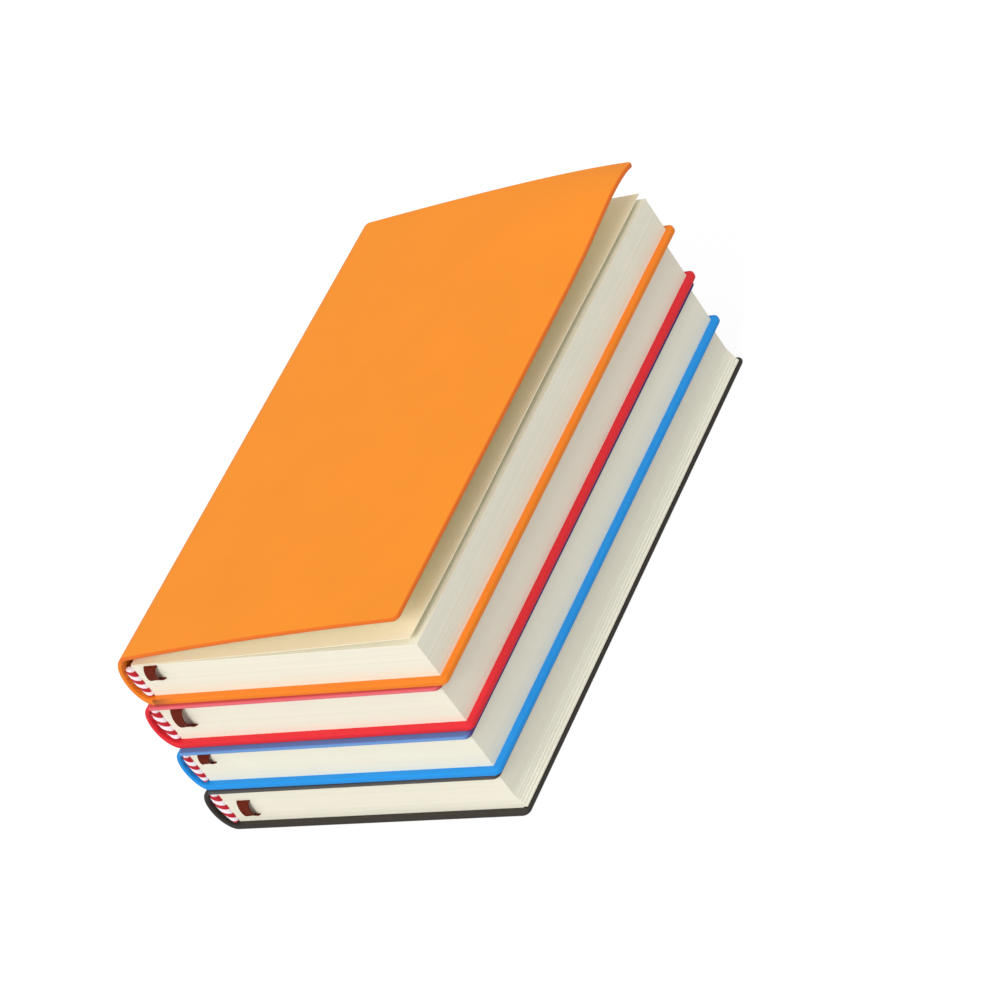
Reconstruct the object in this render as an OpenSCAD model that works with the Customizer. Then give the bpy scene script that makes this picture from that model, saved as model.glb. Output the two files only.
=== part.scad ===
// Stack of four soft-cover notebooks, spines to the left (-X), tails to the front (-Y).
// The three lower books are closed. The top one has its front cover lifted.
// Origin: centre of the stack's footprint, on the surface that it stands on.

/* [Page blocks] */
// Width of the page block, spine to fore-edge
block_w = 124; // [90:1:170]
// Length of the page block, tail to head
block_l = 205; // [150:1:260]
// Thickness of the black book's pages
black_pages_t = 16.2; // [10:0.2:24]
// Thickness of the blue book's pages
blue_pages_t = 15; // [12:0.2:24]
// Thickness of the red book's pages
red_pages_t = 16.4; // [12:0.2:24]
// Thickness of the orange book's pages
orange_pages_t = 14.6; // [12:0.2:18]
// How far the black book's lowest leaves fan out of the fore-edge
fan_out = 2; // [0.4:0.1:2.1]
// Thickness of each step of the fanned leaves
fan_step_t = 1.5; // [0.8:0.1:2]

/* [Cases] */
// Thickness of the padded back covers
back_t = 2.4; // [1.6:0.1:3]
// Thickness of the front covers and spines
front_t = 1.6; // [1.4:0.1:2.4]
// Thickness of the black book's back cover
black_back_t = 1.6; // [1.4:0.1:3]
// How far the covers overhang the page block at head, tail and fore-edge
overhang = 2.6; // [1.6:0.1:4]
// How far the front cover of a closed book overhangs it at the fore-edge
front_overhang = 1.8; // [0.4:0.1:3]
// Corner radius of the covers
corner_r = 2.6; // [2:0.5:8]
// How far the black book's spine bulges out behind the pages
black_spine_bulge = 6.2; // [5:0.1:9]
// How far the blue book's spine bulges out behind the pages
blue_spine_bulge = 5; // [4.8:0.1:9]
// How far the red book's spine bulges out behind the pages
red_spine_bulge = 6.2; // [5:0.1:9]
// How far the orange book's spine bulges out behind the pages
orange_spine_bulge = 5.6; // [5:0.1:9]

/* [Lifted front cover] */
// Height of the orange book's case at the joint of the lifted cover
joint_h = 24.3; // [21.5:0.1:30]
// Distance of that joint in front of the back of the pages
joint_x = 4; // [3:0.5:8]
// Running gap in the joint between spine and front cover
joint_gap = 0.3; // [0.2:0.1:0.6]
// Length of the front cover from the joint to its fore-edge
front_len = 122.6; // [100:0.2:180]
// Angle at which the front cover stands open
lift_deg = 6; // [5:0.1:12]
// How far the cover bends down at its fore-edge, by its own weight
cover_sag = 4.6; // [0:0.2:5]
// How far its fore-edge curls up near the head corner
corner_curl = 2.1; // [0:0.1:3]
// Distance of that curl from the head edge, and how far it spreads along the cover
curl_y = 13; // [6:1:30]
curl_reach = 26; // [15:1:40]
// How far the tip of that corner hangs down, and over which length
corner_drop = 1.8; // [0:0.1:3]
drop_reach = 5; // [4:0.5:12]
// How far the flyleaf stands up at its fore-edge
flyleaf_lift = 2.6; // [0:0.1:3]

/* [Papers and trim] */
// Thickness of a closed endpaper, two leaves of stiff paper
endpaper_t = 0.4; // [0.3:0.05:0.8]
// How far the flyleaf stops short of the fore-edge
flyleaf_inset = 1; // [0.2:0.1:3]
// Inset of the pastedown inside the edges of the front cover
pastedown_inset = 4; // [3:0.5:10]
// Thickness of the cloth lining glued on the back of the pages
lining_t = 0.4; // [0.2:0.05:0.6]
// How far a headband's bead stands out over the end of the pages
bead_h = 1.5; // [1:0.1:1.6]
// Number of thread stripes on a headband
stripes = 7; // [5:2:11]
// Length of the headband's cloth tab on the back of the pages
tab_l = 12; // [8:1:20]
// Width of the ribbon markers
ribbon_w = 6; // [4:0.5:8]
// Thickness of the ribbon markers
ribbon_t = 0.4; // [0.3:0.05:0.5]
// Length of ribbon tucked back between the pages
ribbon_tuck = 30; // [15:1:60]

/* [How the books lie] */
// Black book's shift towards the fore-edge
black_dx = -4.1; // [-8:0.1:4]
// Black book's shift towards the head
black_dy = -3.4; // [-8:0.1:4]
// Black book's turn in the stack
black_turn = 0.26; // [-1:0.02:1]
// Blue book's shift towards the fore-edge
blue_dx = -3; // [-8:0.1:4]
// Blue book's shift towards the head
blue_dy = -3; // [-8:0.1:4]
// Blue book's turn in the stack
blue_turn = 0.04; // [-1:0.02:1]
// Red book's shift towards the fore-edge
red_dx = -2.9; // [-8:0.1:4]
// Red book's shift towards the head
red_dy = -0.9; // [-8:0.1:4]
// Red book's turn in the stack
red_turn = 0.14; // [-1:0.02:1]

/* [Hidden] */

// Each list below has one value for each book, from the bottom of the stack to the top
BLACK = 0;
BLUE = 1;
RED = 2;
ORANGE = 3;
BOOKS = [BLACK, BLUE, RED, ORANGE];
pages_t = [black_pages_t, blue_pages_t, red_pages_t, orange_pages_t];
spine_bulge = [black_spine_bulge, blue_spine_bulge, red_spine_bulge, orange_spine_bulge];
shift = [[black_dx, black_dy], [blue_dx, blue_dy], [red_dx, red_dy], [0, 0]];
turn = [black_turn, blue_turn, red_turn, 0];
cover_colour = ["#2f2b29", "#1f8fe0", "#e0263a", "#ff9632"];
paper_colour = "#f4eed9";
// Where each spine is widest, as a share of its height: the opened case sags
widest_share = [0.5, 0.5, 0.46, 0.4];
// Where each ribbon leaves the pages: distance from the back of the pages
ribbon_x = [6, 4, 6.5, 5.5];
// Its height in the pages, as a share of their thickness
ribbon_out_share = [0.64, 0.88, 0.96, 0.97];
// Height of its loop over the tail of the pages, and how far the loop stands out
loop_h = [7.6, 4.4, 9.4, 6.4];
loop_out = [2, 1.6, 3, 2.4];

back_x = -block_w / 2;
case_half_l = block_l / 2 + overhang;
front_r = front_t / 2;
back_r = [for (i = BOOKS) (i == BLACK ? black_back_t : back_t) / 2];
round_depth = 1.1;
joint_start = back_x + joint_x;
paper_gap = 0.15;
slot_gap = 0.1;
headband_margin = 0.6;
headband_gap = 0.35;
arc_steps = 9;
front_steps = 12;
front_stations = [-0.6, -0.2, 0.1, 0.3, 0.48, 0.62, 0.74, 0.84, 0.91, 0.96];
nose_angles = [20, 65, 115, 160];
// Index, counted back from the end of a ring, where a nose of that many points is split in two
nose_middle = len(nose_angles) / 2;

function page_z(i) = 2 * back_r[i] + endpaper_t;
function book_h(i) = page_z(i) + pages_t[i] + endpaper_t + front_t;
function base_z(i) = i == 0 ? 0 : base_z(i - 1) + book_h(i - 1);

// The footprint of each book, for the origin in the middle of the stack
half_w = [for (i = BOOKS) block_w / 2 + spine_bulge[i]];
left = [for (i = BOOKS) shift[i][0] - half_w[i] * cos(turn[i]) - case_half_l * abs(sin(turn[i]))];
right = [
    block_w / 2 + overhang,
    front_point(front_len - front_r, corner_r - case_half_l, 0)[0] + front_r * sin(nose_angles[1])
];
tail = [for (i = BOOKS) shift[i][1] - case_half_l * cos(turn[i]) - half_w[i] * abs(sin(turn[i]))];
head = [for (i = BOOKS) shift[i][1] + case_half_l];
centre = [(min(left) + max(right)) / 2, (min(tail) + max(head)) / 2];

// Puts a book's pieces, modelled on its own underside, into the stack
module in_stack(i) {
    translate([shift[i][0] - centre[0], shift[i][1] - centre[1], base_z(i)])
        rotate([0, 0, turn[i]])
            children();
}

// Extrudes a profile drawn in X and Z along the length of the book
module along_y(length) {
    rotate([90, 0, 0]) linear_extrude(height = length, center = true) children();
}

// Triangles that close the end of a ring by zipping its two long sides together, starting at a seam
function end_triangles(n, seam) = [
    for (j = [0:floor(n / 2) - 1])
        let (
            a = (seam + j) % n,
            b = (seam + j + 1) % n,
            c = (seam - 2 - j + 2 * n) % n,
            d = (seam - 1 - j + 2 * n) % n
        )
            each (b == d ? [] : b == c ? [[a, b, d]] : [[a, b, c], [a, c, d]])
];

// A solid skinned over closed rings of points
module skin(rings, seam = 0) {
    n = len(rings[0]);
    last = (len(rings) - 1) * n;
    points = [for (ring = rings) each ring];
    walls = [
        for (k = [0:len(rings) - 2], j = [0:n - 1])
            let (a = k * n + j, b = k * n + (j + 1) % n)
                each [[a, b, b + n], [a, b + n, a + n]]
    ];
    start_cap = [for (t = end_triangles(n, seam)) [t[2], t[1], t[0]]];
    end_cap = [for (t = end_triangles(n, seam)) [t[0] + last, t[1] + last, t[2] + last]];
    polyhedron(points, concat(start_cap, walls, end_cap), convexity = 8);
}

// Distances in from the tail or head of a cover at which its rounded edge has a ring
edge_insets = [
    for (a = [75, 50, 25, 0]) round_depth * (1 - sin(a)),
    (round_depth + corner_r) / 2, corner_r
];
// The share of its thickness that a cover has there, and how far its corner is cut back
function full_share(inset) = inset < round_depth ? sqrt(1 - (1 - inset / round_depth) ^ 2) : 1;
function cut_back(inset) = inset < corner_r ? corner_r - sqrt(corner_r ^ 2 - (corner_r - inset) ^ 2) : 0;
function reversed(list) = [for (k = [len(list) - 1:-1:0]) list[k]];

// A padded sheet: its path gives points, outward normals and half its thickness along its middle
function offset_line(path, share, y) = [
    for (p = path) let (q = p[0] + share * p[2] * p[1]) [q[0], y, q[1]]
];
function rounded_nose(p, share, y, angles) = [
    for (a = angles) [p[0][0] + share * p[2] * sin(a), y, p[0][1] - share * p[2] * cos(a)]
];
function sheet_ring(path, share, y, start_angles) =
    concat(
        offset_line(path, share, y),
        rounded_nose(path[len(path) - 1], share, y, nose_angles),
        offset_line(reversed(path), -share, y),
        rounded_nose(path[0], share, y, start_angles)
    );

// Middle line of a case's section: front cover, rounded spine, back cover
function lead(i) = i == ORANGE ? joint_x : 0;
function case_top(i) = i == ORANGE ? joint_h : book_h(i);
function widest(i) = case_top(i) * widest_share[i];
function fore_end(i, cut) = block_w / 2 + overhang - back_r[i] - cut;
function front_end(cut) = block_w / 2 + front_overhang - front_r - cut;
function spine_arc(centre_x, mid_z, a, b, from, r_end) = [
    for (k = [0:arc_steps])
        let (
            w = from + 90 * k / arc_steps,
            n = [cos(w) / a, sin(w) / b]
        )
        [
            [centre_x + a * cos(w), mid_z + b * sin(w)],
            n / norm(n),
            front_r + (r_end - front_r) * k / arc_steps
        ]
];
function case_path(i, cut) =
    let (
        up_a = spine_bulge[i] + lead(i) - front_r,
        up_b = case_top(i) - widest(i) - front_r,
        low_a = spine_bulge[i] - front_r,
        low_b = widest(i) - back_r[i],
        upper = spine_arc(back_x + lead(i), widest(i), up_a, up_b, 90, front_r),
        lower = spine_arc(back_x, widest(i), low_a, low_b, 180, back_r[i])
    )
    concat(
        i == ORANGE ? [] : [[[front_end(cut), case_top(i) - front_r], [0, 1], front_r]],
        upper,
        [for (k = [1:arc_steps]) lower[k]],
        [[[fore_end(i, cut), back_r[i]], [0, -1], back_r[i]]]
    );

// A case: one wrapped piece, folded round the spine, with rounded edges
module case(i) {
    nose = i == ORANGE ? [] : nose_angles;
    tail_rings = [
        for (inset = edge_insets)
            sheet_ring(case_path(i, cut_back(inset)), full_share(inset), inset - case_half_l, nose)
    ];
    head_rings = [
        for (inset = reversed(edge_insets))
            sheet_ring(case_path(i, cut_back(inset)), full_share(inset), case_half_l - inset, nose)
    ];
    ring_points = len(tail_rings[0]);
    color(cover_colour[i]) in_stack(i)
        skin(concat(tail_rings, head_rings), i == ORANGE ? 0 : ring_points - nose_middle);
}

// The lifted cover: height of its middle above the opened plane, s along it and y across
function curl_share(y) = exp(-((case_half_l - curl_y - y) / curl_reach) ^ 2);
function tip_share(s, y) = (s / front_len) ^ 6 * exp((y - case_half_l) / drop_reach);
function front_rise(s, y) =
    (corner_curl * curl_share(y) - cover_sag) * (s / front_len) ^ 2 - corner_drop * tip_share(s, y);
function front_point(s, y, w) =
    let (rise = front_rise(s, y) + w)
    [
        joint_start + joint_gap + s * cos(lift_deg) - rise * sin(lift_deg),
        joint_h - front_r + s * sin(lift_deg) + rise * cos(lift_deg)
    ];
function front_path(y, s_end) =
    let (normal = [-sin(lift_deg), cos(lift_deg)])
    reversed([for (k = [0:front_steps]) [front_point(s_end * k / front_steps, y, 0), normal, front_r]]);
function front_ring(inset, side) =
    let (
        y = side * (case_half_l - inset),
        path = front_path(y, front_len - front_r - cut_back(inset)),
        share = full_share(inset)
    )
    concat(
        offset_line(path, share, y),
        offset_line(reversed(path), -share, y),
        rounded_nose(path[0], share, y, nose_angles)
    );

// Places along the book of the sections between its two rounded ends, closer where the head curls
front_rows = [for (f = front_stations) (case_half_l - corner_r) * f];

module front_cover() {
    rings = concat(
        [for (inset = edge_insets) front_ring(inset, -1)],
        [for (y = front_rows) front_ring(case_half_l - y, 1)],
        [for (inset = reversed(edge_insets)) front_ring(inset, 1)]
    );
    color(cover_colour[ORANGE]) in_stack(ORANGE) skin(rings, len(rings[0]) - nose_middle);
}

// The half of the front endpaper that is pasted to the lifted cover
module pastedown() {
    under = -front_r - paper_gap;
    s_ends = [for (k = [0:front_steps]) pastedown_inset + (front_len - 2 * pastedown_inset) * k / front_steps];
    half = case_half_l - pastedown_inset;
    ys = concat([-half], [for (y = front_rows) if (abs(y) < half - 1) y], [half]);
    rings = [
        for (y = ys)
            concat(
                [for (s = reversed(s_ends)) let (p = front_point(s, y, under)) [p[0], y, p[1]]],
                [for (s = s_ends) let (p = front_point(s, y, under - endpaper_t / 2)) [p[0], y, p[1]]]
            )
    ];
    color(paper_colour) in_stack(ORANGE) skin(rings);
}

// The free half of it, glued along the back of the pages and standing up at the fore-edge
module flyleaf() {
    steps = 14;
    z0 = page_z(ORANGE) + pages_t[ORANGE];
    width = block_w - flyleaf_inset;
    curve = [for (k = [0:steps]) [back_x + width * k / steps, z0 + flyleaf_lift * (k / steps) ^ 1.5]];
    top = [for (p = reversed(curve)) [p[0], p[1] + endpaper_t]];
    color(paper_colour) in_stack(ORANGE) along_y(block_l) polygon(concat(curve, top));
}

// Endpapers of a closed book: pastedown and flyleaf lie on each other
module back_endpaper(i) {
    color(paper_colour) in_stack(i)
        translate([back_x, -block_l / 2, 2 * back_r[i]]) cube([block_w, block_l, endpaper_t]);
}
module front_endpaper(i) {
    color(paper_colour) in_stack(i)
        translate([back_x, -block_l / 2, page_z(i) + pages_t[i]]) cube([block_w, block_l, endpaper_t]);
}

// Places of a ribbon: its left edge, the height where it leaves, and where it is tucked in
function ribbon_left(i) = back_x + ribbon_x[i];
function ribbon_out_z(i) = page_z(i) + pages_t[i] * ribbon_out_share[i];
function ribbon_in_z(i) = ribbon_out_z(i) - loop_h[i];
ribbon_end_y = block_l / 2 - 8;

// The sewn and trimmed pages, with the openings between leaves that hold the ribbon
fan_steps = 4;
module pages(i) {
    fan = i == BLACK ? [
        for (k = [0:fan_steps - 1])
            let (x = block_w / 2 + fan_out * ((fan_steps - k) / fan_steps) ^ 1.4)
                each [[x, page_z(i) + k * fan_step_t], [x, page_z(i) + (k + 1) * fan_step_t]]
    ] : [[block_w / 2, page_z(i)]];
    fore_foot = i == BLACK ? [[block_w / 2, page_z(i) + fan_steps * fan_step_t]] : [];
    top_z = page_z(i) + pages_t[i];
    slot_w = ribbon_w + 2 * slot_gap;
    slot_t = ribbon_t + 2 * slot_gap;
    color(paper_colour) in_stack(i) difference() {
        along_y(block_l)
            polygon(concat([[back_x, page_z(i)]], fan, fore_foot, [[block_w / 2, top_z], [back_x, top_z]]));
        translate([ribbon_left(i) - slot_gap, -block_l / 2 - 1, ribbon_out_z(i) - slot_t / 2])
            cube([slot_w, ribbon_end_y + slot_gap + block_l / 2 + 1, slot_t]);
        translate([ribbon_left(i) - slot_gap, -block_l / 2 - 1, ribbon_in_z(i) - slot_t / 2])
            cube([slot_w, ribbon_tuck + slot_gap + 1, slot_t]);
    }
}

// A ribbon marker: runs down between the leaves, loops over the tail and is tucked back in
module ribbon(i) {
    steps = 12;
    r = ribbon_t / 2;
    tail_y = -block_l / 2;
    mid_z = (ribbon_out_z(i) + ribbon_in_z(i)) / 2;
    function loop_side(d) = [
        for (k = [0:steps])
            let (w = 90 + 180 * k / steps)
                [tail_y + (loop_out[i] + d) * cos(w), mid_z + (loop_h[i] / 2 + d) * sin(w)]
    ];
    outline = concat(
        [[ribbon_end_y, ribbon_out_z(i) + r]],
        loop_side(r),
        [[tail_y + ribbon_tuck, ribbon_in_z(i) - r], [tail_y + ribbon_tuck, ribbon_in_z(i) + r]],
        reversed(loop_side(-r)),
        [[ribbon_end_y, ribbon_out_z(i) - r]]
    );
    color("#6b2416") in_stack(i)
        translate([ribbon_left(i), 0, 0])
            rotate([90, 0, 90]) linear_extrude(height = ribbon_w) polygon(outline);
}

// The cloth lining glued on the back of the pages
module spine_lining(i) {
    color("#d9d2bd") in_stack(i)
        translate([back_x - lining_t, -block_l / 2 + 1, page_z(i) + headband_margin])
            cube([lining_t, block_l - 2, pages_t[i] - 2 * headband_margin]);
}

// Inner face of the spine at a height, which the headband's bead fills up to
function inner_spine_x(i, z) =
    let (
        upper = z > widest(i),
        a = spine_bulge[i] + (upper ? lead(i) : 0) - front_t,
        b = upper ? case_top(i) - widest(i) - front_t : widest(i) - 2 * back_r[i],
        u = min(1, abs(z - widest(i)) / b)
    )
    back_x + (upper ? lead(i) : 0) - a * sqrt(1 - u ^ 2);

// A headband: a corded bead over the end of the pages, on a cloth tab glued to their back
bead_angles = [0, 30, 60, 90, 120, 150, 180];
bead_over = 0.7;
bead_slant = 1.2;
groove = 0.72;
tab_t = 0.4;
module headband(i, end) {
    low = page_z(i) + headband_margin;
    high = page_z(i) + pages_t[i] - headband_margin;
    rings = 2 * stripes;
    tab_x = back_x - lining_t - tab_t;
    bead = [
        for (k = [0:rings])
            let (
                z = low + (high - low) * k / rings,
                slant = k == 0 || k == rings ? 0 : bead_slant,
                depth = bead_h * (k % 2 == 0 ? groove : 1),
                x_left = min(inner_spine_x(i, z) + headband_gap, tab_x),
                x_right = back_x + bead_over
            )
            [
                for (a = bead_angles)
                    [
                        (x_left + x_right) / 2 + (x_right - x_left) / 2 * cos(a),
                        -block_l / 2 - depth * sin(a),
                        z + slant * (a / 180 - 0.5)
                    ]
            ]
    ];
    color("#c01228") in_stack(i)
        mirror([0, end == "head" ? 1 : 0, 0]) {
            skin(bead);
            translate([tab_x, -block_l / 2 - bead_h / 4, low + bead_slant])
                cube([tab_t, tab_l + bead_h / 4, high - low - 2 * bead_slant]);
        }
}

case(BLACK);  // black_case
pages(BLACK);  // black_pages
front_endpaper(BLACK);  // black_front_endpaper
back_endpaper(BLACK);  // black_back_endpaper
spine_lining(BLACK);  // black_spine_lining
headband(BLACK, "tail");  // black_tail_headband
headband(BLACK, "head");  // black_head_headband
ribbon(BLACK);  // black_ribbon
case(BLUE);  // blue_case
pages(BLUE);  // blue_pages
front_endpaper(BLUE);  // blue_front_endpaper
back_endpaper(BLUE);  // blue_back_endpaper
spine_lining(BLUE);  // blue_spine_lining
headband(BLUE, "tail");  // blue_tail_headband
headband(BLUE, "head");  // blue_head_headband
ribbon(BLUE);  // blue_ribbon
case(RED);  // red_case
pages(RED);  // red_pages
front_endpaper(RED);  // red_front_endpaper
back_endpaper(RED);  // red_back_endpaper
spine_lining(RED);  // red_spine_lining
headband(RED, "tail");  // red_tail_headband
headband(RED, "head");  // red_head_headband
ribbon(RED);  // red_ribbon
case(ORANGE);  // orange_case
pages(ORANGE);  // orange_pages
flyleaf();  // orange_flyleaf
back_endpaper(ORANGE);  // orange_back_endpaper
spine_lining(ORANGE);  // orange_spine_lining
headband(ORANGE, "tail");  // orange_tail_headband
headband(ORANGE, "head");  // orange_head_headband
ribbon(ORANGE);  // orange_ribbon
front_cover();  // orange_front_cover
pastedown();  // orange_pastedown
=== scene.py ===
# %% [markdown]
# # A stack of four soft-cover notebooks
# Four bound notebooks lie on each other, spines to the left and tails to the viewer.
# The CAD model gives every size and place. This lesson gives each piece its finished
# form and material, from the page edges to the striped headbands.

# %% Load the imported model
import math
import random

import bmesh
import bpy
from mathutils import Matrix, Vector, noise


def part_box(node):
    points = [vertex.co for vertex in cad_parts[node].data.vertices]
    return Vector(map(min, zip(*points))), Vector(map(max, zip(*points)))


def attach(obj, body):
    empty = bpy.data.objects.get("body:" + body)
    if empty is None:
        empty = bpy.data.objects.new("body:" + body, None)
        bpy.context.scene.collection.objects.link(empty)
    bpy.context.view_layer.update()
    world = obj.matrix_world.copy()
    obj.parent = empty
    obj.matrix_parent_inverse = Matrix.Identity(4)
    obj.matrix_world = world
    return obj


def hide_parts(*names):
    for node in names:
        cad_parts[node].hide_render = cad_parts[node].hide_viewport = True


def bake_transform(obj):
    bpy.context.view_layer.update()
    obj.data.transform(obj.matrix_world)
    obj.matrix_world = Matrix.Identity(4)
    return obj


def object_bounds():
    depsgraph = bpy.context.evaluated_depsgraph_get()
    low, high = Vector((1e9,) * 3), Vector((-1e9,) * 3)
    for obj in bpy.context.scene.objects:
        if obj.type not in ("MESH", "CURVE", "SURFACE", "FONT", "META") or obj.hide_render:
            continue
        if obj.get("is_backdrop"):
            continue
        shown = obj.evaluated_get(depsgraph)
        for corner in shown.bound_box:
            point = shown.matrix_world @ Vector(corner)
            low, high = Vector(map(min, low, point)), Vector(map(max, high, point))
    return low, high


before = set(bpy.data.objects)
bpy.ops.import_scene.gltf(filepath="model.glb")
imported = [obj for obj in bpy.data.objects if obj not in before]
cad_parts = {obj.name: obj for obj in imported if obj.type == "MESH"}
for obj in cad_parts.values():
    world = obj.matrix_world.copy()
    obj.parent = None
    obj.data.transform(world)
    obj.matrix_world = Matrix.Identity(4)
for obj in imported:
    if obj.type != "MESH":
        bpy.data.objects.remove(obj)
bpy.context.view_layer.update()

# %% [markdown]
# ## Camera
# The photograph was taken from the tail end, to the right and above, with a long lens
# and the camera rolled. A camera is set by where it stands and by its three axes, so
# the axes are written as the columns of a matrix, which keeps the roll exact.

# %% Place the camera
camera_data = bpy.data.cameras.new("camera")
camera_data.sensor_width = 36
camera_data.lens = 148.116
camera_data.clip_end = 20
camera = bpy.data.objects.new("camera", camera_data)
bpy.context.scene.collection.objects.link(camera)
right = Vector((0.784761, 0.372933, -0.495047))
up = Vector((0.080570, 0.730563, 0.678075))
back = Vector((0.614540, -0.572013, 0.543270))
turned = Matrix((right, up, back)).transposed().to_4x4()
camera.matrix_world = Matrix.Translation((0.890645, -0.802271, 0.803966)) @ turned
bpy.context.scene.camera = camera
print("Camera distance in m:", round(camera.location.length, 3))

# %% [markdown]
# ## Floor and light
# A cut-out on white needs no studio walls. The floor is a wide plane. To the camera it
# glows and takes only a faint shadow, so that it reads white as in the photograph. To
# every other ray it is plain pale card that throws light back up at the stack. A wide
# sun from the tail side lights the top and the tail ends. A weak one, wider still,
# reaches the flyleaf under the lifted cover, and an even sky fills the fore-edges,
# which look a third darker than the tail ends in the photograph.

# %% Make the floor
def material_with_nodes(name):
    material = bpy.data.materials.new(name)
    material.use_nodes = True
    tree = material.node_tree
    tree.nodes.clear()
    output = tree.nodes.new("ShaderNodeOutputMaterial")
    return material, tree, output


floor_material, tree, output = material_with_nodes("white_floor")
card = tree.nodes.new("ShaderNodeBsdfDiffuse")
card.inputs["Color"].default_value = (0.62, 0.62, 0.62, 1)
faint = tree.nodes.new("ShaderNodeBsdfDiffuse")
faint.inputs["Color"].default_value = (0.3, 0.3, 0.3, 1)
glow = tree.nodes.new("ShaderNodeEmission")
glow.inputs["Strength"].default_value = 0.8
seen = tree.nodes.new("ShaderNodeAddShader")
path = tree.nodes.new("ShaderNodeLightPath")
choice = tree.nodes.new("ShaderNodeMixShader")
tree.links.new(faint.outputs[0], seen.inputs[0])
tree.links.new(glow.outputs[0], seen.inputs[1])
tree.links.new(path.outputs["Is Camera Ray"], choice.inputs[0])
tree.links.new(card.outputs[0], choice.inputs[1])
tree.links.new(seen.outputs[0], choice.inputs[2])
tree.links.new(choice.outputs[0], output.inputs["Surface"])

bm = bmesh.new()
bmesh.ops.create_grid(bm, x_segments=1, y_segments=1, size=6)
floor_mesh = bpy.data.meshes.new("floor")
bm.to_mesh(floor_mesh)
bm.free()
floor_mesh.materials.append(floor_material)
floor = bpy.data.objects.new("floor", floor_mesh)
bpy.context.scene.collection.objects.link(floor)
floor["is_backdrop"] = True

# %% Light the scene
world = bpy.data.worlds.new("sky")
bpy.context.scene.world = world
world.use_nodes = True
tree = world.node_tree
tree.nodes.clear()
sky_output = tree.nodes.new("ShaderNodeOutputWorld")
fill = tree.nodes.new("ShaderNodeBackground")
fill.inputs["Color"].default_value = (0.97, 0.985, 1, 1)
fill.inputs["Strength"].default_value = 0.58
white = tree.nodes.new("ShaderNodeBackground")
path = tree.nodes.new("ShaderNodeLightPath")
mix = tree.nodes.new("ShaderNodeMixShader")
tree.links.new(path.outputs["Is Camera Ray"], mix.inputs[0])
tree.links.new(fill.outputs[0], mix.inputs[1])
tree.links.new(white.outputs[0], mix.inputs[2])
tree.links.new(mix.outputs[0], sky_output.inputs["Surface"])


def add_sun(name, comes_from, energy, width_deg, colour=(1, 1, 1)):
    lamp_data = bpy.data.lights.new(name, "SUN")
    lamp_data.energy = energy
    lamp_data.angle = math.radians(width_deg)
    lamp_data.color = colour
    lamp = bpy.data.objects.new(name, lamp_data)
    lamp.rotation_mode = "QUATERNION"
    lamp.rotation_quaternion = Vector(comes_from).to_track_quat("Z", "Y")
    bpy.context.scene.collection.objects.link(lamp)
    return lamp


key_sun = add_sun("key", (0.14, -0.78, 0.61), energy=1.6, width_deg=24)
side_sun = add_sun("side", (0.6, 0.05, 0.8), energy=0.47, width_deg=60, colour=(0.93, 0.97, 1))
view_settings = bpy.context.scene.view_settings
view_settings.view_transform = "Standard"
print("Lamps:", key_sun.name, side_sun.name, "and", world.name)

# %% [markdown]
# ## Shared effects
# Several finishes use the same effect: the fine grain of the covers is the same on all
# four colours, and every trimmed edge of paper shows the same thin lines. Each effect
# is a node group with its own inputs, built once and placed in every material that
# needs it, so a change in one place reaches them all.

# %% Helpers for nodes and node groups
def start_group(name, inputs, outputs):
    group = bpy.data.node_groups.new(name, "ShaderNodeTree")
    for label, kind, value in inputs:
        socket = group.interface.new_socket(label, in_out="INPUT", socket_type=kind)
        socket.default_value = value
    for label, kind in outputs:
        group.interface.new_socket(label, in_out="OUTPUT", socket_type=kind)
    return group, group.nodes.new("NodeGroupInput"), group.nodes.new("NodeGroupOutput")


def add_node(tree, kind, links=(), **values):
    node = tree.nodes.new(kind)
    for label, value in values.items():
        setattr(node, label, value)
    for socket, source in links:
        tree.links.new(source, node.inputs[socket])
    return node


def set_inputs(node, **values):
    for label, value in values.items():
        node.inputs[label.replace("_", " ")].default_value = value
    return node


def object_place(tree):
    return add_node(tree, "ShaderNodeTexCoord").outputs["Object"]


def texture(tree, kind, place, **values):
    return set_inputs(add_node(tree, "ShaderNodeTex" + kind, [("Vector", place)]), **values)


def combine(tree, operation, first, second):
    links = [(0, first), (1, second)]
    return add_node(tree, "ShaderNodeMath", links, operation=operation).outputs[0]


def vary_colour(group, given, signal, strength, **ranges):
    """The group's colour, lighter and darker by its strength input as the signal varies."""
    spread = add_node(group, "ShaderNodeMapRange", [("Value", signal)])
    set_inputs(spread, **ranges)
    links = [(0, spread.outputs[0]), (1, given.outputs[strength])]
    amount = add_node(group, "ShaderNodeMath", links, operation="MULTIPLY_ADD")
    amount.inputs[2].default_value = 1
    links = [(0, given.outputs["Colour"]), ("Scale", amount.outputs[0])]
    return add_node(group, "ShaderNodeVectorMath", links, operation="SCALE").outputs[0]


# %% Grain of the covers
COLOUR = "NodeSocketColor"
NUMBER = "NodeSocketFloat"
grain_group, given, made = start_group(
    "cover_grain",
    [("Colour", COLOUR, (1, 1, 1, 1)), ("Grain size mm", NUMBER, 0.8), ("Mottle", NUMBER, 0.08)],
    [("Colour", COLOUR), ("Roughness", NUMBER), ("Height", NUMBER)],
)
place = object_place(grain_group)
frequency = add_node(grain_group, "ShaderNodeMath", operation="DIVIDE")
frequency.inputs[0].default_value = 1000
grain_group.links.new(given.outputs["Grain size mm"], frequency.inputs[1])
pebbles = add_node(
    grain_group,
    "ShaderNodeTexVoronoi",
    [("Vector", place), ("Scale", frequency.outputs[0])],
    feature="SMOOTH_F1",
)
wrinkles = texture(grain_group, "Noise", place, Scale=420, Detail=4).outputs["Fac"]
clouds = texture(grain_group, "Noise", place, Scale=34, Detail=5, Roughness=0.6).outputs["Fac"]
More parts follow.
